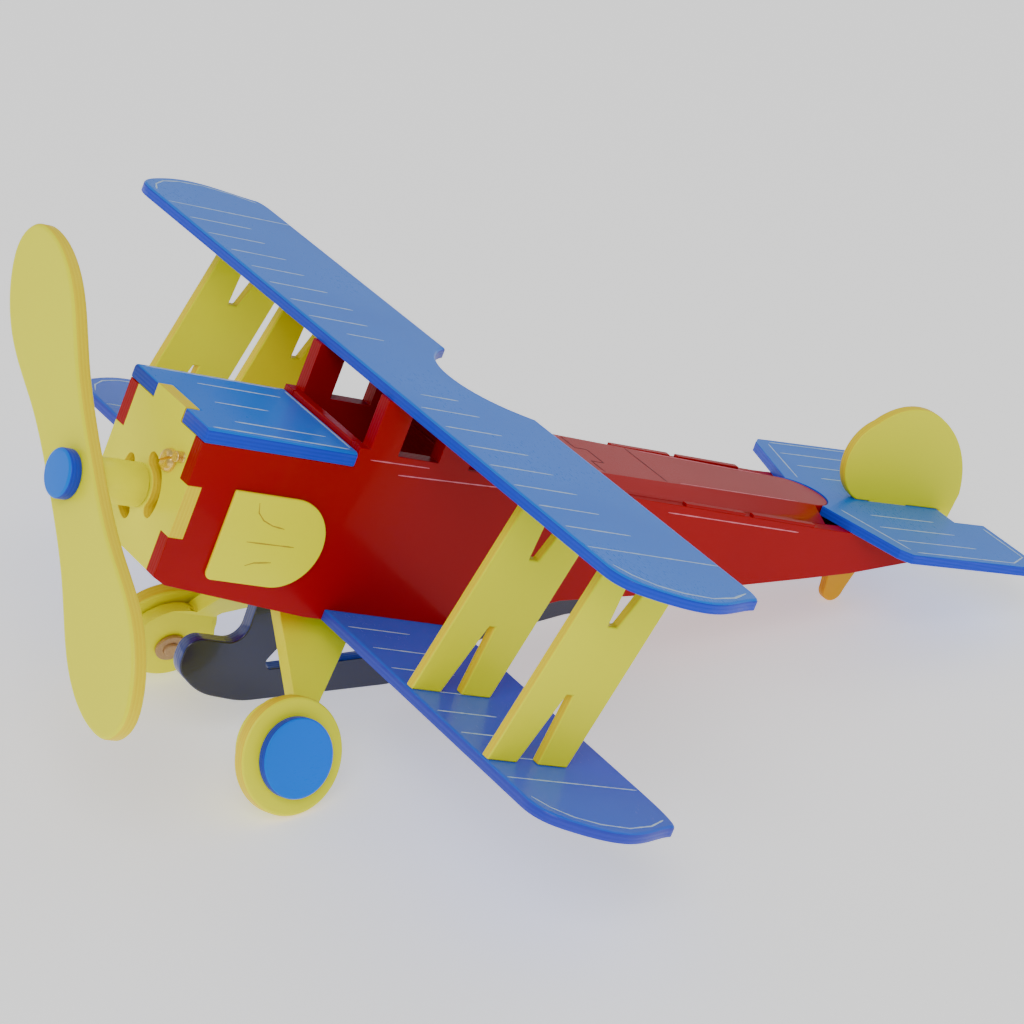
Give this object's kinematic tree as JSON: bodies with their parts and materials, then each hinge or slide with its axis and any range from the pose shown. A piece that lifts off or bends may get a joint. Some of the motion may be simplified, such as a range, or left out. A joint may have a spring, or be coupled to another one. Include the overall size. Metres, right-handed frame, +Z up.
{
  "type": "biplane scale model",
  "caption": "Slot-together painted plywood biplane with turning propeller and wheels, standing on its wheels and tail skid.",
  "frame": {"origin": "bottom centre of the bounding box, on the surface the model stands on", "axes": "+X towards the left wing tip, +Y aft, +Z up, with the model standing nose-up on its wheels and tail skid"},
  "size_m": [0.3748, 0.424, 0.1843],
  "materials": {
    "yellow_enamel": "gloss yellow enamel over plywood",
    "red_enamel": "gloss red enamel over plywood",
    "blue_enamel": "gloss blue enamel over plywood",
    "dark_blue_enamel": "gloss midnight blue enamel over plywood",
    "brass": "polished",
    "hardwood_dowel": "smooth dowel",
    "bare_plywood": "sanded, unpainted"
  },
  "bodies": {
    "airframe": {"nose_plate": "yellow_enamel", "side_left": "red_enamel", "side_right": "red_enamel", "cowl_plate": "blue_enamel", "rear_deck": "red_enamel", "front_former": "bare_plywood", "rear_former": "bare_plywood", "cockpit_floor": "bare_plywood", "belly_front": "bare_plywood", "belly_rear": "bare_plywood", "tail_block": "bare_plywood", "side_panel_left": "yellow_enamel", "side_panel_right": "yellow_enamel", "top_wing": "blue_enamel", "lower_wing": "blue_enamel", "strut_left_inner": "yellow_enamel", "strut_left_outer": "yellow_enamel", "strut_right_inner": "yellow_enamel", "strut_right_outer": "yellow_enamel", "gear_arch": "yellow_enamel", "keel_skid": "dark_blue_enamel", "stabilizer": "blue_enamel", "rudder": "yellow_enamel", "tail_skid": "yellow_enamel", "shaft_bush": "brass", "nose_screw": "brass", "nose_pin": "brass"},
    "propeller_unit": {"propeller": "yellow_enamel", "prop_cap": "blue_enamel", "prop_boss": "yellow_enamel", "prop_shaft": "hardwood_dowel", "shaft_collar": "bare_plywood"},
    "left_wheel": {"wheel_left": "yellow_enamel", "hub_cap_left": "blue_enamel", "wheel_axle_left": "hardwood_dowel", "wheel_washers_left": "bare_plywood"},
    "right_wheel": {"wheel_right": "yellow_enamel", "hub_cap_right": "blue_enamel", "wheel_axle_right": "hardwood_dowel", "wheel_washers_right": "bare_plywood"}
  },
  "joints": [
    {"name": "propeller_spin", "type": "hinge", "parent": "airframe", "child": "propeller_unit", "pos_m": [0, -0.18514, 0.12057], "axis": [0, -0.9443, 0.3291], "continuous": true},
    {"name": "left_wheel_spin", "type": "hinge", "parent": "airframe", "child": "left_wheel", "pos_m": [0.04702, -0.12588, 0.02017], "axis": [0.9511, 0.1017, 0.2918], "continuous": true},
    {"name": "right_wheel_spin", "type": "hinge", "parent": "airframe", "child": "right_wheel", "pos_m": [-0.04702, -0.12588, 0.02017], "axis": [0.9511, -0.1017, -0.2918], "continuous": true}
  ]
}
